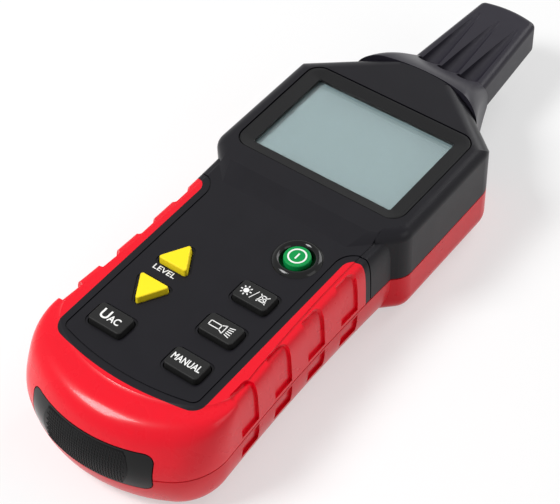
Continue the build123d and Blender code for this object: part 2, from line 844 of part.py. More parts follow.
# ---------------------------------------------------------------- display
with BuildPart() as display_bezel:
    add(rounded_plate(
        bezel_half_width - bezel_gap, bezel_low + bezel_gap, bezel_high - bezel_gap, bezel_radius - bezel_gap,
        bezel_floor, head_height - bezel_sink))
    top_rim = display_bezel.faces().sort_by(Axis.Z)[-1].edges()
    fillet(top_rim, bezel_edge)
    add(rounded_plate(
        window_half_width, window_low, window_high, window_corner, bezel_floor - 1, head_height),
        mode=Mode.SUBTRACT)
    # the face slopes down to the window
    bezel_face = head_height - bezel_sink
    for height, reach in ((bezel_face, bezel_slope), (bezel_face - bezel_dip, 0.0)):
        with BuildSketch(Plane.XY.offset(height)):
            with Locations((0, along((window_low + window_high) / 2))):
                RectangleRounded(
                    2 * (window_half_width + reach), window_high - window_low + 2 * reach,
                    window_corner + reach)
    loft(mode=Mode.SUBTRACT)
save(display_bezel, "display_bezel")

with BuildPart() as display_window:
    add(rounded_plate(
        window_half_width + window_ledge, window_low - window_ledge, window_high + window_ledge, 1.0,
        window_low_face, bezel_floor))
save(display_window, "display_window")

with BuildPart() as lcd_panel:
    add(rounded_plate(
        window_half_width + lcd_margin, window_low - lcd_margin, window_high + lcd_margin, 0.5,
        lcd_low, lcd_top))
save(lcd_panel, "lcd_panel")

tray_foot = window_low - lcd_margin + connector_depth + 0.6
with BuildPart() as lcd_backlight:
    add(rounded_plate(
        window_half_width + lcd_margin - 0.2, tray_foot + 0.2, window_high + lcd_margin - 0.2, 0.5,
        backlight_low, lcd_low))
save(lcd_backlight, "lcd_backlight")

with BuildPart() as lcd_frame:
    add(rounded_plate(
        window_half_width + lcd_margin + lcd_frame_wall, tray_foot,
        window_high + lcd_margin + lcd_frame_wall, 1.0, board_top, lcd_low + 0.8))
    add(rounded_plate(
        window_half_width + lcd_margin + 0.15, tray_foot - 5, window_high + lcd_margin + 0.15, 0.5,
        backlight_low, head_height), mode=Mode.SUBTRACT)
save(lcd_frame, "lcd_frame")

connector_y = along(window_low - lcd_margin + connector_depth / 2 + 0.2)
with BuildPart() as lcd_connector:
    add(block((-connector_half_length, connector_half_length),
              (connector_y - connector_depth / 2, connector_y + connector_depth / 2), (board_top, lcd_low)))
save(lcd_connector, "lcd_connector")

# ---------------------------------------------------------------- buttons
for name in button_names:
    top = panel_height + button_heights[name]
    with BuildPart() as button:
        with BuildSketch(Plane.XY.offset(panel_ceiling)):
            add(button_outline(name))
        extrude(amount=top - panel_ceiling, taper=button_draft)
        crown = button.faces().sort_by(Axis.Z)[-1].edges()
        fillet(crown, button_edge)
        add(prism(button_outline(name, flange_margin), flange_low, panel_ceiling))
        add(posts([button_centre(name)], stem_radius, stem_low, flange_low))
    save(button, name)

with BuildPart() as power_ring:
    with BuildSketch(Plane((power_offset, along(power_distance), 0), x_dir=(1, 0, 0), z_dir=(0, -1, 0))):
        with BuildLine():
            bore = power_radius + button_gap
            Polyline(
                (bore, panel_height - 0.1), (bore, panel_ceiling),
                (ring_seat_radius - bore_gap, panel_ceiling),
                (ring_seat_radius - bore_gap, panel_height), (ring_radius, panel_height))
            Spline(
                (ring_radius, panel_height), (ring_radius - 0.8, panel_height + 0.72 * ring_height),
                (ring_radius - 1.7, panel_height + ring_height),
                (bore + 0.6, panel_height + 0.45 * ring_height),
                (bore, panel_height - 0.1))
        make_face()
    revolve(axis=Axis((power_offset, along(power_distance), 0), (0, 0, 1)))
save(power_ring, "power_ring")

# ---------------------------------------------------------------- keypad mat, board and switches
with BuildPart() as keypad_mat:
    add(rounded_plate(
        pocket_half_width - mat_margin, pocket_low + mat_margin,
        power_distance + ring_seat_radius + mat_gap + mat_rim, panel_corner_radius,
        panel_ceiling - mat_thickness, panel_ceiling))
    for name in button_names:
        add(prism(button_outline(name, flange_margin + mat_gap), board_top, head_height), mode=Mode.SUBTRACT)
    add(posts([(power_offset, along(power_distance))], ring_seat_radius + mat_gap, board_top, head_height),
        mode=Mode.SUBTRACT)
save(keypad_mat, "keypad_mat")

with BuildPart() as tact_switches:
    with Locations(*[(*button_centre(name), board_top + switch_body / 2) for name in button_names]):
        Box(switch_width, switch_width, switch_body)
    add(posts([button_centre(name) for name in button_names], 1.6, board_top + switch_body, switch_top))
save(tact_switches, "tact_switches")

with BuildPart() as main_board:
    with BuildSketch(Plane.XY.offset(board_low)):
        with BuildLine():
            right = Polyline(
                (0, along(board_tail)), (board_grip_half_width, along(board_tail)),
                (board_grip_half_width, along(board_step)),
                (board_head_half_width, along(board_step + board_corner)),
                (board_head_half_width, along(board_head - board_corner)),
                (board_head_half_width - board_corner, along(board_head)), (0, along(board_head)))
            mirror(right, about=Plane.YZ)
        make_face()
    extrude(amount=board_thickness)
    add(posts(housing_screw_places, post_radius + 0.5, 0, head_height), mode=Mode.SUBTRACT)
    add(posts(board_screw_places, board_screw_radius + bore_gap, 0, head_height), mode=Mode.SUBTRACT)
save(main_board, "main_board")

with BuildPart() as board_chips:
    for x, distance, size_x, size_y, size_z in (
            (0.0, grip_length + 3.0, 12.0, 12.0, 1.5),
            (-10.0, grip_length + 12.0, 5.0, 6.2, 1.5),
            (16.0, grip_length + 19.0, 6.2, 5.0, 1.5),
            (14.0, grip_length - 3.0, 3.2, 10.0, 3.4),
            (-8.0, board_head - 9.5, 7.0, 9.0, 1.4),
            (10.0, board_head - 11.5, 5.0, 6.2, 1.5)):
        with Locations((x, along(distance), board_low - size_z / 2)):
            Box(size_x, size_y, size_z)
save(board_chips, "board_chips")

buzzer_place = (-14.0, along(grip_length - 11.0))
with BuildPart() as buzzer:
    add(posts([buzzer_place], buzzer_radius, board_low - buzzer_height, board_low))
    add(posts([buzzer_place], 1.0, board_low - buzzer_height - 1, board_low - buzzer_height + 1),
        mode=Mode.SUBTRACT)
save(buzzer, "buzzer")

with BuildPart() as board_screws:
    add(posts(board_screw_places, board_screw_head_radius, board_low - 1.3, board_low))
    add(posts(board_screw_places, board_screw_radius, board_low, board_low + board_screw_length))
save(board_screws, "board_screws")

# ---------------------------------------------------------------- batteries
cell_places = [along(cell_first + row * cell_pitch) for row in range(cell_rows)]
with BuildPart() as battery_tray:
    add(tray_block())
    add(block(
        (-bay_half_length, bay_half_length), (along(bay_low), along(bay_high)), (0, tray_top - tray_wall)),
        mode=Mode.SUBTRACT)
save(battery_tray, "battery_tray")

plate_edge = bay_half_length - contact_thickness
with BuildPart() as battery_contacts:
    for y in cell_places:
        for side in (-1, 1):
            with Locations((side * (plate_edge + contact_thickness / 2), y, cell_centre_height)):
                Box(contact_thickness, 8.0, 8.0)
save(battery_contacts, "battery_contacts")

with BuildPart() as battery_cells:
    for row, y in enumerate(cell_places):
        nub_side = 1 if row % 2 == 0 else -1
        nub_end = Plane((nub_side * plate_edge, y, cell_centre_height), z_dir=(-nub_side, 0, 0))
        with BuildSketch(nub_end):
            Circle(2.7)
        extrude(amount=cell_nub)
        with BuildSketch(nub_end.offset(cell_nub)):
            Circle(cell_radius)
        extrude(amount=cell_length)
save(battery_cells, "battery_cells")

with BuildPart() as battery_springs:
    for row, y in enumerate(cell_places):
        spring_side = -1 if row % 2 == 0 else 1
        foot = Plane((spring_side * plate_edge, y, cell_centre_height), z_dir=(-spring_side, 0, 0))
        with Locations(foot):
            Cone(3.4, 2.2, spring_room, align=(Align.CENTER, Align.CENTER, Align.MIN))
            Cone(2.8, 1.6, spring_room, align=(Align.CENTER, Align.CENTER, Align.MIN), mode=Mode.SUBTRACT)
save(battery_springs, "battery_springs")

with BuildPart() as battery_door:
    add(rounded_plate(bay_half_length + door_margin, door_low, door_high, 0.4, 0, door_thickness))
    with BuildSketch():
        for index in range(door_rib_count):
            with Locations((0, along(bay_low + 6 + index * door_rib_pitch))):
                SlotOverall(door_rib_length, door_rib_width)
    extrude(amount=door_rib_depth, mode=Mode.SUBTRACT)
    add(posts([(0, along(door_screw_distance))], screw_radius + bore_gap, -1, door_thickness + 1),
        mode=Mode.SUBTRACT)
    add(posts([(0, along(door_screw_distance))], screw_head_radius + 0.2, -1, door_head_depth),
        mode=Mode.SUBTRACT)
save(battery_door, "battery_door")

# ---------------------------------------------------------------- screws
with BuildPart() as door_screw:
    add(posts([(0, along(door_screw_distance))], screw_head_radius, door_head_depth - 0.9, door_head_depth))
    add(posts([(0, along(door_screw_distance))], screw_radius, door_head_depth, door_screw_length - 0.5))
save(door_screw, "door_screw")

with BuildPart() as housing_screws:
    add(posts(
        housing_screw_places, screw_head_radius, screw_head_depth - screw_head_height, screw_head_depth))
    add(posts(housing_screw_places, screw_radius, screw_head_depth, screw_head_depth + screw_length))
    with BuildSketch(Plane.XY.offset(screw_head_depth - screw_head_height)):
        with Locations(*housing_screw_places):
            Rectangle(2.8, 0.6)
            Rectangle(0.6, 2.8)
    extrude(amount=1.0, mode=Mode.SUBTRACT)
save(housing_screws, "housing_screws")
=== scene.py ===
# %% [markdown]
# # A handheld circuit tracer
# The device is a receiver that an electrician sweeps over cables and breakers.
# Its casing, keys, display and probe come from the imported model, at their real size.
# This file gives them their finishes, adds the printed signs and the knurled tail,
# and sets up the camera and the lights.

# %% Load the frame
import math

import bmesh
import bpy
from mathutils import Matrix, Vector
from mathutils.bvhtree import BVHTree


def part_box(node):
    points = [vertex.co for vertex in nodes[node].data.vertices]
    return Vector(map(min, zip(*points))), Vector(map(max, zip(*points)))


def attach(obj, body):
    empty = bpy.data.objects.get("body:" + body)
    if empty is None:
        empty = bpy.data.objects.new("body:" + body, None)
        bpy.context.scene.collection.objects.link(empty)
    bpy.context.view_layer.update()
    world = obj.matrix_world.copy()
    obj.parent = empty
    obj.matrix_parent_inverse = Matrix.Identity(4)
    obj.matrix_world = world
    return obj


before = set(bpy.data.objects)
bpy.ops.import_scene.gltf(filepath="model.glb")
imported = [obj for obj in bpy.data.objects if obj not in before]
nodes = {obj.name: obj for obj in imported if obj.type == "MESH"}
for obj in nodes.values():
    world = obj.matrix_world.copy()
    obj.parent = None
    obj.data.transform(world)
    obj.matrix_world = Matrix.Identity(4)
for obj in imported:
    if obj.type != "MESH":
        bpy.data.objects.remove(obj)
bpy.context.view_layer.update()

MM = 0.001
print("pieces in the frame:", len(nodes))

# %% [markdown]
# ## The camera
# The view looks down on the keys from the tail's right side. It is given as an aim point,
# a compass angle, a height angle and a distance, so that it can be read and changed.
# A long lens keeps the sides of the casing nearly parallel.

# %% Camera
AIM = Vector((0.0, -21.0 * MM, 20.0 * MM))
AZIMUTH = math.radians(38.59)
ELEVATION = math.radians(47.29)
ROLL = math.radians(-1.99)
DISTANCE = 585.5 * MM

back = Vector((
    math.sin(AZIMUTH) * math.cos(ELEVATION),
    -math.cos(AZIMUTH) * math.cos(ELEVATION),
    math.sin(ELEVATION)))
camera_data = bpy.data.cameras.new("camera")
camera_data.lens = 114.3
camera_data.sensor_width = 36.0
camera_data.clip_start = 0.01
camera = bpy.data.objects.new("camera", camera_data)
bpy.context.scene.collection.objects.link(camera)
turn = back.to_track_quat("Z", "Y").to_matrix().to_4x4() @ Matrix.Rotation(ROLL, 4, "Z")
camera.matrix_world = Matrix.Translation(AIM + back * DISTANCE) @ turn
bpy.context.scene.camera = camera
print("camera at", [round(value, 4) for value in camera.matrix_world.translation])

# %% [markdown]
# ## Small tools for materials
# Colours are written as hex codes, the way paint charts give them, and turned to linear light.
# One function adds a node with its settings and its links.


# %% Colour and node helpers
def linear(code, alpha=1.0):
    """Linear colour of an sRGB hex code."""
    channels = [int(code[i:i + 2], 16) / 255 for i in (1, 3, 5)]
    return [c / 12.92 if c <= 0.04045 else ((c + 0.055) / 1.055) ** 2.4 for c in channels] + [alpha]


def add_node(tree, kind, inputs=None, **settings):
    """Add a node; inputs maps a socket's name to a value or to the socket that feeds it."""
    node = tree.nodes.new(kind)
    for key, value in settings.items():
        setattr(node, key, value)
    for key, value in (inputs or {}).items():
        if isinstance(value, bpy.types.NodeSocket):
            tree.links.new(value, node.inputs[key])
        else:
            node.inputs[key].default_value = value
    return node


def start_material(name):
    """Empty node material with its output and the object coordinates that patterns read."""
    material = bpy.data.materials.new(name)
    material.use_nodes = True
    tree = material.node_tree
    tree.nodes.clear()
    output = tree.nodes.new("ShaderNodeOutputMaterial")
    place = tree.nodes.new("ShaderNodeTexCoord").outputs["Object"]
    return material, tree, output, place


def moulded(name, colour, roughness, grain_mm, depth_mm, shade=0.9, coat=0.0, specular=0.16):
    """Moulded plastic or rubber: an even colour, and the fine grain that the tool's steel leaves."""
    material, tree, output, place = start_material(name)
    grain = add_node(
        tree, "ShaderNodeTexNoise", {"Vector": place, "Scale": 1 / (grain_mm * MM), "Detail": 2.0})
    patches = add_node(tree, "ShaderNodeTexNoise", {"Vector": place, "Scale": 1 / (9 * MM), "Detail": 3.0})
    dark = [channel * shade for channel in linear(colour)[:3]] + [1.0]
    blend = add_node(tree, "ShaderNodeMix", data_type="RGBA")
    tree.links.new(patches.outputs["Fac"], blend.inputs[0])
    blend.inputs[6].default_value = dark
    blend.inputs[7].default_value = linear(colour)
    spread = add_node(tree, "ShaderNodeMapRange", {
        "Value": patches.outputs["Fac"], "From Min": 0.3, "From Max": 0.7,
        "To Min": roughness - 0.03, "To Max": roughness + 0.03})
    bump = add_node(tree, "ShaderNodeBump", {
        "Height": grain.outputs["Fac"], "Strength": 0.5, "Distance": depth_mm * MM})
    shader = add_node(tree, "ShaderNodeBsdfPrincipled", {
        "Base Color": blend.outputs[2], "Roughness": spread.outputs["Result"], "IOR": 1.5,
        "Normal": bump.outputs["Normal"], "Coat Weight": coat, "Coat Roughness": 0.12,
        "Specular IOR Level": specular})
    tree.links.new(shader.outputs["BSDF"], output.inputs["Surface"])
    return material


# %% [markdown]
# ## The casing's plastics
# The black front is ABS with a fine spark-eroded grain, which makes a soft, wide highlight.
# The red sides are a rubbery TPE moulded over it, smoother and more saturated.
# The back is red ABS, and the tail cap and the ring of the power key are polished.

# %% Plastics of the casing
black_abs = moulded("black_moulded_abs", "#151419", 0.33, 0.45, 0.010)
# The probe cover is the casing's black plastic painted lighter: painted light standing in for the light its
# sloping collar and top catch.
painted_light_collar_abs = moulded("black_abs_painted_lighter", "#2A2830", 0.34, 0.45, 0.010)
frame_abs = moulded("matte_black_abs", "#161617", 0.50, 0.40, 0.012, specular=0.15)
red_tpe = moulded("red_overmoulded_tpe", "#E8001F", 0.28, 0.45, 0.006, shade=0.93, coat=0.25)
red_abs = moulded("red_moulded_abs", "#DC001C", 0.30, 0.45, 0.006, shade=0.93, coat=0.15)
gloss_black = moulded("polished_black_abs", "#050506", 0.12, 1.5, 0.002, coat=0.1, specular=0.2)
print("casing finishes:", [m.name for m in (black_abs, painted_light_collar_abs, frame_abs, red_tpe, red_abs, gloss_black)])

# %% [markdown]
# ## The keys
# The keys are silicone rubber, moulded in colour. Silicone has almost no gloss, and dust dulls it.

# %% Rubbers
key_black = moulded("black_silicone_rubber", "#181818", 0.55, 0.35, 0.016, specular=0.2)
key_yellow = moulded("yellow_silicone_rubber", "#FFE428", 0.50, 0.30, 0.006, shade=0.96)
key_green = moulded("green_silicone_rubber", "#0A9048", 0.45, 0.30, 0.006, shade=0.95)
mat_grey = moulded("grey_silicone_rubber", "#6F7072", 0.6, 0.3, 0.01)
print("key finishes:", [m.name for m in (key_black, key_yellow, key_green)])

# %% [markdown]
# ## The display
# The window is clear acrylic. The display glass below it carries a polarising film, which
# gives a resting display its flat grey-green.


# %% Window and display
def clear(name, tint, roughness, ior):
    """Clear plastic. Lamps shine through it too, so what lies behind is lit as it is in life."""
    material, tree, output, place = start_material(name)
    shader = add_node(tree, "ShaderNodeBsdfPrincipled", {
        "Base Color": linear(tint), "Roughness": roughness, "IOR": ior, "Transmission Weight": 1.0})
    open_way = add_node(tree, "ShaderNodeBsdfTransparent", {"Color": linear(tint)})
    path = add_node(tree, "ShaderNodeLightPath")
    mixed = add_node(tree, "ShaderNodeMixShader", {0: path.outputs["Is Shadow Ray"]})
    tree.links.new(shader.outputs["BSDF"], mixed.inputs[1])
    tree.links.new(open_way.outputs["BSDF"], mixed.inputs[2])
    tree.links.new(mixed.outputs["Shader"], output.inputs["Surface"])
    return material


window_acrylic = clear("clear_acrylic", "#F7FBFA", 0.02, 1.49)
lens_clear = clear("clear_polycarbonate", "#FFFFFF", 0.03, 1.58)
# The film's grey-green is painted darker than the film itself: painted shade that offsets the bright room light
# reaching it through the window.
lcd_film_painted_darker = moulded("polarising_film_painted_darker", "#616D70", 0.35, 0.4, 0.001, shade=0.97)
white_plastic = moulded("white_polycarbonate", "#EDEDE6", 0.4, 0.4, 0.004)

# %% [markdown]
# ## What is inside
# The board, the cells and the coil only show when the casing is opened,
# so each gets the plain finish of the real material.


# %% Inside materials
def metal(name, colour, roughness):
    """Bare metal with a little unevenness in its polish."""
    material, tree, output, place = start_material(name)
    patches = add_node(tree, "ShaderNodeTexNoise", {"Vector": place, "Scale": 1 / (1.5 * MM)})
    spread = add_node(tree, "ShaderNodeMapRange", {
        "Value": patches.outputs["Fac"], "To Min": roughness - 0.08, "To Max": roughness + 0.08})
    shader = add_node(tree, "ShaderNodeBsdfPrincipled", {
        "Base Color": linear(colour), "Metallic": 1.0, "Roughness": spread.outputs["Result"]})
    tree.links.new(shader.outputs["BSDF"], output.inputs["Surface"])
    return material


steel = metal("zinc_plated_steel", "#B9BABC", 0.35)
copper = metal("enamelled_copper", "#B8693A", 0.3)
ferrite = moulded("sintered_ferrite", "#3A3A3C", 0.7, 0.2, 0.02)
board_green = moulded("green_laminate", "#1E5B34", 0.35, 0.5, 0.01)
epoxy = moulded("moulded_epoxy", "#1B1B1C", 0.5, 0.2, 0.01)
sleeve = moulded("cell_sleeve", "#3C4B66", 0.3, 1.0, 0.001)

finishes = {
    "front_housing": black_abs, "front_grip": red_tpe, "rear_housing": red_abs, "battery_door": red_abs,
    "probe_cover": painted_light_collar_abs, "display_bezel": frame_abs, "display_window": window_acrylic,
    "lcd_panel": lcd_film_painted_darker, "lcd_backlight": white_plastic, "lcd_frame": white_plastic,
    "lcd_connector": mat_grey, "tail_cap": gloss_black, "power_ring": gloss_black,
    "power_button": key_green, "level_up_button": key_yellow, "level_down_button": key_yellow,
    "voltage_button": key_black, "light_mute_button": key_black, "torch_button": key_black,
    "manual_button": key_black, "keypad_mat": mat_grey, "tact_switches": epoxy,
    "main_board": board_green, "board_chips": epoxy, "buzzer": epoxy, "board_screws": steel,
    "torch_lens": lens_clear, "torch_led": white_plastic, "ferrite_rod": ferrite, "coil_bobbin": epoxy,
    "sensor_coil": copper, "battery_tray": epoxy, "battery_cells": sleeve, "battery_springs": steel,
    "battery_contacts": steel, "door_screw": steel, "housing_screws": steel,
}
for name, obj in nodes.items():
    obj.data.materials.clear()
    obj.data.materials.append(finishes[name])
print("finished pieces:", len(finishes))

# %% [markdown]
# ## Printed signs
# The signs on the keys and the panel are pad-printed in white ink, a film far thinner than a hair.
# Here the film is 0.05 mm thick so that it never flickers against the surface under it.
# Each sign is built from small flat shapes: bars, rings and letters.

# %% Print helpers
INK = moulded("white_pad_print", "#F2F2F0", 0.5, 0.2, 0.002, shade=0.98)
INK_DEPTH = 0.05 * MM


def finish_piece(name, mesh, material, body):
    """Make an object of a mesh that already lies in place, and tie it to a body."""
    mesh.materials.clear()
    mesh.materials.append(material)
    piece = bpy.data.objects.new(name, mesh)
    bpy.context.scene.collection.objects.link(piece)
    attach(piece, body)
    return piece


def bar(start, end, width):
    """Outline of a straight stroke between two points."""
    start, end = Vector(start), Vector(end)
    side = (end - start).orthogonal().normalized() * width / 2
    return [start - side, end - side, end + side, start + side]


def disc(centre, radius, count=40):
    """Outline of a circle."""
    return [
        Vector(centre) + radius * Vector((math.cos(2 * math.pi * i / count), math.sin(2 * math.pi * i / count)))
        for i in range(count)]


def ring(centre, radius, width, count=48):
    """Short strokes that make up a circle."""
    points = disc(centre, radius, count)
    return [[points[i - 1] * (1 - width / 2 / radius) + Vector(centre) * width / 2 / radius,
             points[i] * (1 - width / 2 / radius) + Vector(centre) * width / 2 / radius,
             points[i] * (1 + width / 2 / radius) - Vector(centre) * width / 2 / radius,
             points[i - 1] * (1 + width / 2 / radius) - Vector(centre) * width / 2 / radius]
            for i in range(count)]


def signs_mesh(name, outlines, centre, height):
    """Flat closed prisms, drawn in millimetres about a centre, lying on a height."""
    mesh = bmesh.new()
    for outline in outlines:
        low = [mesh.verts.new((centre[0] + p[0] * MM, centre[1] + p[1] * MM, height)) for p in outline]
        high = [mesh.verts.new(v.co + Vector((0, 0, INK_DEPTH))) for v in low]
        mesh.faces.new(low)
        mesh.faces.new(high)
        for i in range(len(low)):
            mesh.faces.new((low[i - 1], low[i], high[i], high[i - 1]))
    bmesh.ops.recalc_face_normals(mesh, faces=mesh.faces)
    data = bpy.data.meshes.new(name)
    mesh.to_mesh(data)
    mesh.free()
    return data


def text_mesh(name, words, centre, height, size_mm, width_mm=None, weight_mm=0.0):
    """Letters as a thin solid, centred on a point and fitted to a width."""
    curve = bpy.data.curves.new(name, "FONT")
    curve.body = words
    curve.align_x = "CENTER"
    curve.align_y = "CENTER"
    curve.size = size_mm * MM
    curve.offset = weight_mm * MM
    curve.extrude = INK_DEPTH / 2
    curve.resolution_u = 6
    holder = bpy.data.objects.new(name, curve)
    bpy.context.scene.collection.objects.link(holder)
    bpy.context.view_layer.update()
    data = bpy.data.meshes.new_from_object(holder.evaluated_get(bpy.context.evaluated_depsgraph_get()))
    bpy.data.objects.remove(holder)
    bpy.data.curves.remove(curve)
    xs = [v.co.x for v in data.vertices]
    ys = [v.co.y for v in data.vertices]
    stretch = width_mm * MM / (max(xs) - min(xs)) if width_mm else 1.0
    middle = Vector(((max(xs) + min(xs)) / 2, (max(ys) + min(ys)) / 2, 0))
    data.transform(
        Matrix.Translation((centre[0], centre[1], height + INK_DEPTH / 2))
        @ Matrix.Diagonal((stretch, 1, 1, 1)) @ Matrix.Translation(-middle))
    data.name = name
    return data


def top_of(node):
    """Middle of a key's top, and its height."""
    low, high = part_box(node)
    return ((low.x + high.x) / 2, (low.y + high.y) / 2), high.z


# %% [markdown]
# The word between the yellow arrows names what they set. The other keys carry their own sign.

# %% Words
up_low, up_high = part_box("level_up_button")
down_low, down_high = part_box("level_down_button")
panel_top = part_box("front_grip")[1].z
level_centre = ((up_low.x + up_high.x) / 2 - 0.9 * MM, (up_low.y + down_high.y) / 2 + 1.4 * MM)
finish_piece("level_word", text_mesh("level_word", "LEVEL", level_centre, panel_top, 2.9, 8.6, 0.03),
             INK, "casing")

centre, top = top_of("manual_button")
finish_piece("manual_word", text_mesh("manual_word", "MANUAL", centre, top, 3.5, 10.8, 0.06),
             INK, "manual_button")

centre, top = top_of("voltage_button")
big = (centre[0] - 2.3 * MM, centre[1] + 0.3 * MM)
small = (centre[0] + 1.6 * MM, centre[1] - 0.3 * MM)
finish_piece("voltage_letter", text_mesh("voltage_letter", "U", big, top, 5.2, 3.2, 0.08),
             INK, "voltage_button")
finish_piece("voltage_small_letters", text_mesh("voltage_small_letters", "AC", small, top, 3.6, 4.4, 0.06),
             INK, "voltage_button")

# %% [markdown]
# The power sign is a circle with a bar in it. The torch sign is an outlined handle and head
# with five rays. The key for light and sound has a sun, a slash and a crossed-out bell.

# %% Signs
centre, top = top_of("power_button")
power_sign = ring((0, 0), 2.9, 0.55) + [bar((0, -1.25), (0, 1.25), 0.55)]
finish_piece("power_sign", signs_mesh("power_sign", power_sign, centre, top),
             INK, "power_button")

centre, top = top_of("torch_button")
STROKE = 0.32
handle = [(-4.4, -0.9), (-0.4, -0.9), (1.2, -1.7), (1.2, 1.7), (-0.4, 0.9), (-4.4, 0.9)]
torch_sign = [bar(handle[i - 1], handle[i], STROKE) for i in range(len(handle))]
torch_sign += [disc(point, STROKE / 2, 12) for point in handle]
torch_sign += [bar((-0.4, -0.9), (-0.4, 0.9), STROKE)]
for index in range(5):
    spread = (index - 2) * 0.72
    torch_sign.append(bar((2.1, spread), (4.0, spread * 1.35), STROKE))
finish_piece("torch_sign", signs_mesh("torch_sign", torch_sign, centre, top),
             INK, "torch_button")

centre, top = top_of("light_mute_button")
sun = [disc((-3.3, 0), 0.95)]
for index in range(8):
    angle = index * math.pi / 4
    way = Vector((math.cos(angle), math.sin(angle)))
    sun.append(bar(Vector((-3.3, 0)) + way * 1.3, Vector((-3.3, 0)) + way * 2.0, 0.4))
slash = [bar((-0.9, -1.9), (0.5, 1.9), 0.26)]
bell = [(1.5, -1.2), (4.7, -1.2), (4.3, -0.5), (4.1, 0.6), (3.6, 1.3), (2.6, 1.3), (2.1, 0.6), (1.9, -0.5)]
mute = [bar(bell[i - 1], bell[i], STROKE) for i in range(len(bell))]
mute += [bar((1.5, 1.6), (4.9, -1.7), 0.32), bar((1.5, -1.7), (4.9, 1.6), 0.32)]
finish_piece("light_mute_sign", signs_mesh("light_mute_sign", sun + slash + mute, centre, top),
             INK, "light_mute_button")
print("signs printed")

# %% [markdown]
# ## The knurled pad on the tail
# A thin pad with rounded ends lies across the middle of the polished tail cap, and rows of
# small slanted ribs cover it, so that the thumb finds the cap and does not slip.
# The pad follows the cap's curve: points on a flat grid are sent along a ray onto the cap.

# %% Pad on the tail cap
cap = nodes["tail_cap"]
cap_low, cap_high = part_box("tail_cap")
cap_tree = BVHTree.FromObject(cap, bpy.context.evaluated_depsgraph_get())
PAD_HALF_WIDTH = 14.0 * MM
PAD_END_BULGE = 2.6 * MM
PAD_EDGE = 0.7 * MM
PAD_RAISE = 0.16 * MM
PAD_COLUMNS, PAD_ROWS = 56, 18


def on_cap(x, z, lift):
    """Point of the cap's outer face at this width and height, raised along its normal."""
    start = Vector((x, cap_low.y - 20 * MM, z))
    place, normal, _, _ = cap_tree.ray_cast(start, Vector((0, 1, 0)))
    return place + normal * lift


def pad_half_width(z):
    """The pad's ends are arcs: widest at half height."""
    middle = (cap_low.z + cap_high.z) / 2
    share = (z - middle) / ((cap_high.z - cap_low.z) / 2)
    return PAD_HALF_WIDTH + PAD_END_BULGE * (1 - share * share)


pad = bmesh.new()
skins = []
for lift in (PAD_RAISE, -0.1 * MM):
    skin = []
    for row in range(PAD_ROWS + 1):
        z = cap_low.z + PAD_EDGE + (cap_high.z - cap_low.z - 2 * PAD_EDGE) * row / PAD_ROWS
        half = pad_half_width(z)
        skin.append([
            pad.verts.new(on_cap(half * (2 * column / PAD_COLUMNS - 1), z, lift))
            for column in range(PAD_COLUMNS + 1)])
    skins.append(skin)
for skin in skins:
    for row in range(PAD_ROWS):
        for column in range(PAD_COLUMNS):
            pad.faces.new((skin[row][column], skin[row][column + 1],
                           skin[row + 1][column + 1], skin[row + 1][column]))
front, rear = skins
rim = [(0, c) for c in range(PAD_COLUMNS + 1)] + [(r, PAD_COLUMNS) for r in range(1, PAD_ROWS + 1)]
rim += [(PAD_ROWS, c) for c in range(PAD_COLUMNS - 1, -1, -1)] + [(r, 0) for r in range(PAD_ROWS - 1, 0, -1)]
for (r0, c0), (r1, c1) in zip(rim, rim[1:] + rim[:1]):
    pad.faces.new((front[r0][c0], front[r1][c1], rear[r1][c1], rear[r0][c0]))
bmesh.ops.recalc_face_normals(pad, faces=pad.faces)
pad_mesh = bpy.data.meshes.new("tail_pad")
pad.to_mesh(pad_mesh)
pad.free()
pad_plastic = moulded("satin_black_abs", "#0F0F10", 0.34, 0.4, 0.006)
tail_pad = finish_piece("tail_pad", pad_mesh, pad_plastic, "casing")
print("pad faces:", len(pad_mesh.polygons))

# %% [markdown]
# The ribs repeat, so Geometry Nodes place them. A flat grid gives one point for each rib,
# every second row is shifted by half a step, a ray carries each point onto the pad, and a small
# rounded bar is put there, turned to the pad's normal and slanted.


# %% Knurl tree
def socket(tree, name, kind, default):
    """Named input of a node tree."""
    made = tree.interface.new_socket(name, in_out="INPUT", socket_type=kind)
    if default is not None:
        made.default_value = default
    return made


knurl = bpy.data.node_groups.new("knurl", "GeometryNodeTree")
knurl.interface.new_socket("Geometry", in_out="OUTPUT", socket_type="NodeSocketGeometry")
pad_socket = socket(knurl, "Pad", "NodeSocketObject", None)
width_socket = socket(knurl, "Width", "NodeSocketFloat", 2 * PAD_HALF_WIDTH)
height_socket = socket(knurl, "Height", "NodeSocketFloat", 12.0 * MM)
columns_socket = socket(knurl, "Columns", "NodeSocketInt", 31)
rows_socket = socket(knurl, "Rows", "NodeSocketInt", 13)
slant_socket = socket(knurl, "Slant", "NodeSocketFloat", math.radians(32))
material_socket = socket(knurl, "Material", "NodeSocketMaterial", None)
given = add_node(knurl, "NodeGroupInput").outputs
group_output = add_node(knurl, "NodeGroupOutput")

grid = add_node(knurl, "GeometryNodeMeshGrid", {
    "Size X": given["Width"], "Size Y": given["Height"],
    "Vertices X": given["Columns"], "Vertices Y": given["Rows"]})
index = add_node(knurl, "GeometryNodeInputIndex")
row_of = add_node(knurl, "ShaderNodeMath", {0: index.outputs[0], 1: given["Rows"]}, operation="MODULO")
odd = add_node(knurl, "ShaderNodeMath", {0: row_of.outputs[0], 1: 2.0}, operation="MODULO")
step = add_node(knurl, "ShaderNodeMath", {0: given["Width"], 1: given["Columns"]}, operation="DIVIDE")
half_step = add_node(knurl, "ShaderNodeMath", {0: step.outputs[0], 1: 0.85}, operation="MULTIPLY")
shift = add_node(knurl, "ShaderNodeMath", {0: odd.outputs[0], 1: half_step.outputs[0]}, operation="MULTIPLY")
across = add_node(knurl, "ShaderNodeCombineXYZ", {"X": shift.outputs[0]})
staggered = add_node(knurl, "GeometryNodeSetPosition", {
    "Geometry": grid.outputs["Mesh"], "Offset": across.outputs["Vector"]})
print("knurl inputs:", [item.name for item in knurl.interface.items_tree if item.in_out == "INPUT"])

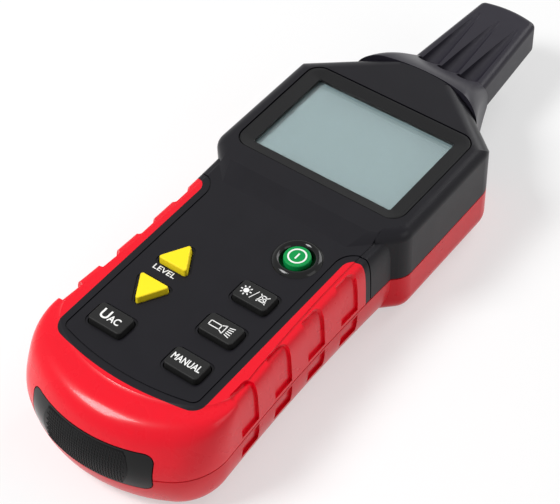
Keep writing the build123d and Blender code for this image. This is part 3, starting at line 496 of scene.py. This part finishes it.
# %% Knurl tree: onto the pad
place = add_node(knurl, "GeometryNodeInputPosition")
parts = add_node(knurl, "ShaderNodeSeparateXYZ", {"Vector": place.outputs["Position"]})
middle_height = (cap_low.z + cap_high.z) / 2
lifted = add_node(knurl, "ShaderNodeMath", {0: parts.outputs["Y"], 1: middle_height}, operation="ADD")
start = add_node(knurl, "ShaderNodeCombineXYZ", {
    "X": parts.outputs["X"], "Y": cap_low.y - 20 * MM, "Z": lifted.outputs[0]})
pad_info = add_node(knurl, "GeometryNodeObjectInfo", {"Object": given["Pad"]})
ray = add_node(knurl, "GeometryNodeRaycast", {
    "Target Geometry": pad_info.outputs["Geometry"], "Source Position": start.outputs["Vector"],
    "Ray Direction": (0.0, 1.0, 0.0), "Ray Length": 0.1})
keep = add_node(knurl, "GeometryNodeCaptureAttribute")
keep.capture_items.new("VECTOR", "Normal")
keep.capture_items.new("BOOLEAN", "Hit")
knurl.links.new(staggered.outputs["Geometry"], keep.inputs["Geometry"])
knurl.links.new(ray.outputs["Hit Normal"], keep.inputs["Normal"])
knurl.links.new(ray.outputs["Is Hit"], keep.inputs["Hit"])
landed = add_node(knurl, "GeometryNodeSetPosition", {
    "Geometry": keep.outputs["Geometry"], "Position": ray.outputs["Hit Position"]})
face_way = add_node(knurl, "FunctionNodeAlignRotationToVector", {"Vector": keep.outputs["Normal"]})
face_way.axis = "Z"
slanted = add_node(knurl, "FunctionNodeRotateRotation", {"Rotation": face_way.outputs["Rotation"]})
slanted.rotation_space = "LOCAL"
turned = add_node(knurl, "FunctionNodeAxisAngleToRotation", {"Axis": (0.0, 0.0, 1.0), "Angle": given["Slant"]})
knurl.links.new(turned.outputs["Rotation"], slanted.inputs["Rotate By"])

rib = add_node(knurl, "GeometryNodeMeshUVSphere", {"Segments": 8, "Rings": 5, "Radius": 1.0})
rib_size = add_node(knurl, "GeometryNodeTransform", {
    "Geometry": rib.outputs["Mesh"], "Scale": (0.24 * MM, 0.52 * MM, 0.20 * MM)})
ribs = add_node(knurl, "GeometryNodeInstanceOnPoints", {
    "Points": landed.outputs["Geometry"], "Instance": rib_size.outputs["Geometry"],
    "Rotation": slanted.outputs["Rotation"], "Selection": keep.outputs["Hit"]})
real = add_node(knurl, "GeometryNodeRealizeInstances", {"Geometry": ribs.outputs["Instances"]})
coated = add_node(knurl, "GeometryNodeSetMaterial", {
    "Geometry": real.outputs["Geometry"], "Material": given["Material"]})
knurl.links.new(coated.outputs["Geometry"], group_output.inputs[0])

# %% Knurled ribs
holder = bpy.data.objects.new("tail_ribs_maker", bpy.data.meshes.new("tail_ribs_maker"))
bpy.context.scene.collection.objects.link(holder)
modifier = holder.modifiers.new("knurl", "NODES")
modifier.node_group = knurl
modifier[pad_socket.identifier] = tail_pad
modifier[width_socket.identifier] = 2 * (PAD_HALF_WIDTH + 0.6 * MM)
modifier[height_socket.identifier] = 12.0 * MM
modifier[columns_socket.identifier] = 31
modifier[rows_socket.identifier] = 13
modifier[slant_socket.identifier] = math.radians(32)
modifier[material_socket.identifier] = pad_plastic
bpy.context.view_layer.update()
rib_mesh = bpy.data.meshes.new_from_object(
    holder.evaluated_get(bpy.context.evaluated_depsgraph_get()))
rib_mesh.name = "tail_ribs"
bpy.data.objects.remove(holder)
finish_piece("tail_ribs", rib_mesh, pad_plastic, "casing")
print("rib faces:", len(rib_mesh.polygons))

# %% [markdown]
# ## The floor and the light
# A pale floor fades into a white background, so the object stands in an even, bright room.
# A large lamp overhead makes the long soft highlights along the rounded edges.



# %% Floor
def seen_directly(tree):
    """One where the camera looks, straight on, in a mirror or through something clear."""
    path = add_node(tree, "ShaderNodeLightPath")
    mirrored = add_node(tree, "ShaderNodeMath", {
        0: path.outputs["Is Camera Ray"], 1: path.outputs["Is Glossy Ray"]}, operation="MAXIMUM")
    through = add_node(tree, "ShaderNodeMath", {
        0: mirrored.outputs["Value"], 1: path.outputs["Is Transmission Ray"]}, operation="MAXIMUM")
    return through.outputs["Value"]


floor_mesh = bpy.data.meshes.new("floor")
REACH = 3.0
floor_mesh.from_pydata(
    [(-REACH, -REACH, 0), (REACH, -REACH, 0), (REACH, REACH, 0), (-REACH, REACH, 0)], [], [(0, 1, 2, 3)])
floor = bpy.data.objects.new("floor", floor_mesh)
bpy.context.scene.collection.objects.link(floor)
floor_material, tree, output, place = start_material("pale_floor")
paper = add_node(tree, "ShaderNodeBsdfPrincipled", {"Base Color": linear("#F4F4F4"), "Roughness": 0.9})
glow = add_node(tree, "ShaderNodeEmission", {"Color": (1, 1, 1, 1), "Strength": 1.0})
share = add_node(tree, "ShaderNodeMath", {0: seen_directly(tree), 1: 0.5}, operation="MULTIPLY")
mixed = add_node(tree, "ShaderNodeMixShader", {0: share.outputs["Value"]})
tree.links.new(paper.outputs["BSDF"], mixed.inputs[1])
tree.links.new(glow.outputs["Emission"], mixed.inputs[2])
tree.links.new(mixed.outputs["Shader"], output.inputs["Surface"])
floor.data.materials.append(floor_material)

# %% [markdown]
# The room is white where the camera looks, and dimmer where it lights the object: black plastic
# stays black only if most of what it mirrors is dark. The light comes from three soft boxes.
# The large one stands over the tail, so that the ramp and the tail's crest catch it and
# the flat face and the window, which mirror the far side of the room, do not.

# %% World
world = bpy.data.worlds.new("room")
bpy.context.scene.world = world
world.use_nodes = True
tree = world.node_tree
tree.nodes.clear()
output = tree.nodes.new("ShaderNodeOutputWorld")
ambient = add_node(tree, "ShaderNodeBackground", {"Color": (1, 1, 1, 1), "Strength": 0.20})
white = add_node(tree, "ShaderNodeBackground", {"Color": (1, 1, 1, 1), "Strength": 1.0})
mixed = add_node(tree, "ShaderNodeMixShader", {0: seen_directly(tree)})
tree.links.new(ambient.outputs["Background"], mixed.inputs[1])
tree.links.new(white.outputs["Background"], mixed.inputs[2])
tree.links.new(mixed.outputs["Shader"], output.inputs["Surface"])


# %% Lamps
def softbox(name, place, aim, size, watts):
    """Square area lamp that points at a place."""
    lamp_data = bpy.data.lights.new(name, "AREA")
    lamp_data.size = size
    lamp_data.energy = watts
    lamp = bpy.data.objects.new(name, lamp_data)
    bpy.context.scene.collection.objects.link(lamp)
    way = Vector(place) - Vector(aim)
    lamp.matrix_world = Matrix.Translation(place) @ way.to_track_quat("Z", "Y").to_matrix().to_4x4()
    return lamp


softbox("tail_light", (-0.35, -0.45, 0.75), (0, 0, 0.02), 0.32, 7.5)
softbox("far_light", (0.15, 0.9, 0.55), (0, 0, 0.02), 0.6, 5.0)
softbox("right_light", (0.8, 0.05, 0.45), (0, 0, 0.02), 0.5, 1.2)
print("lights set")

# %% Colour management
bpy.context.scene.view_settings.view_transform = "Standard"
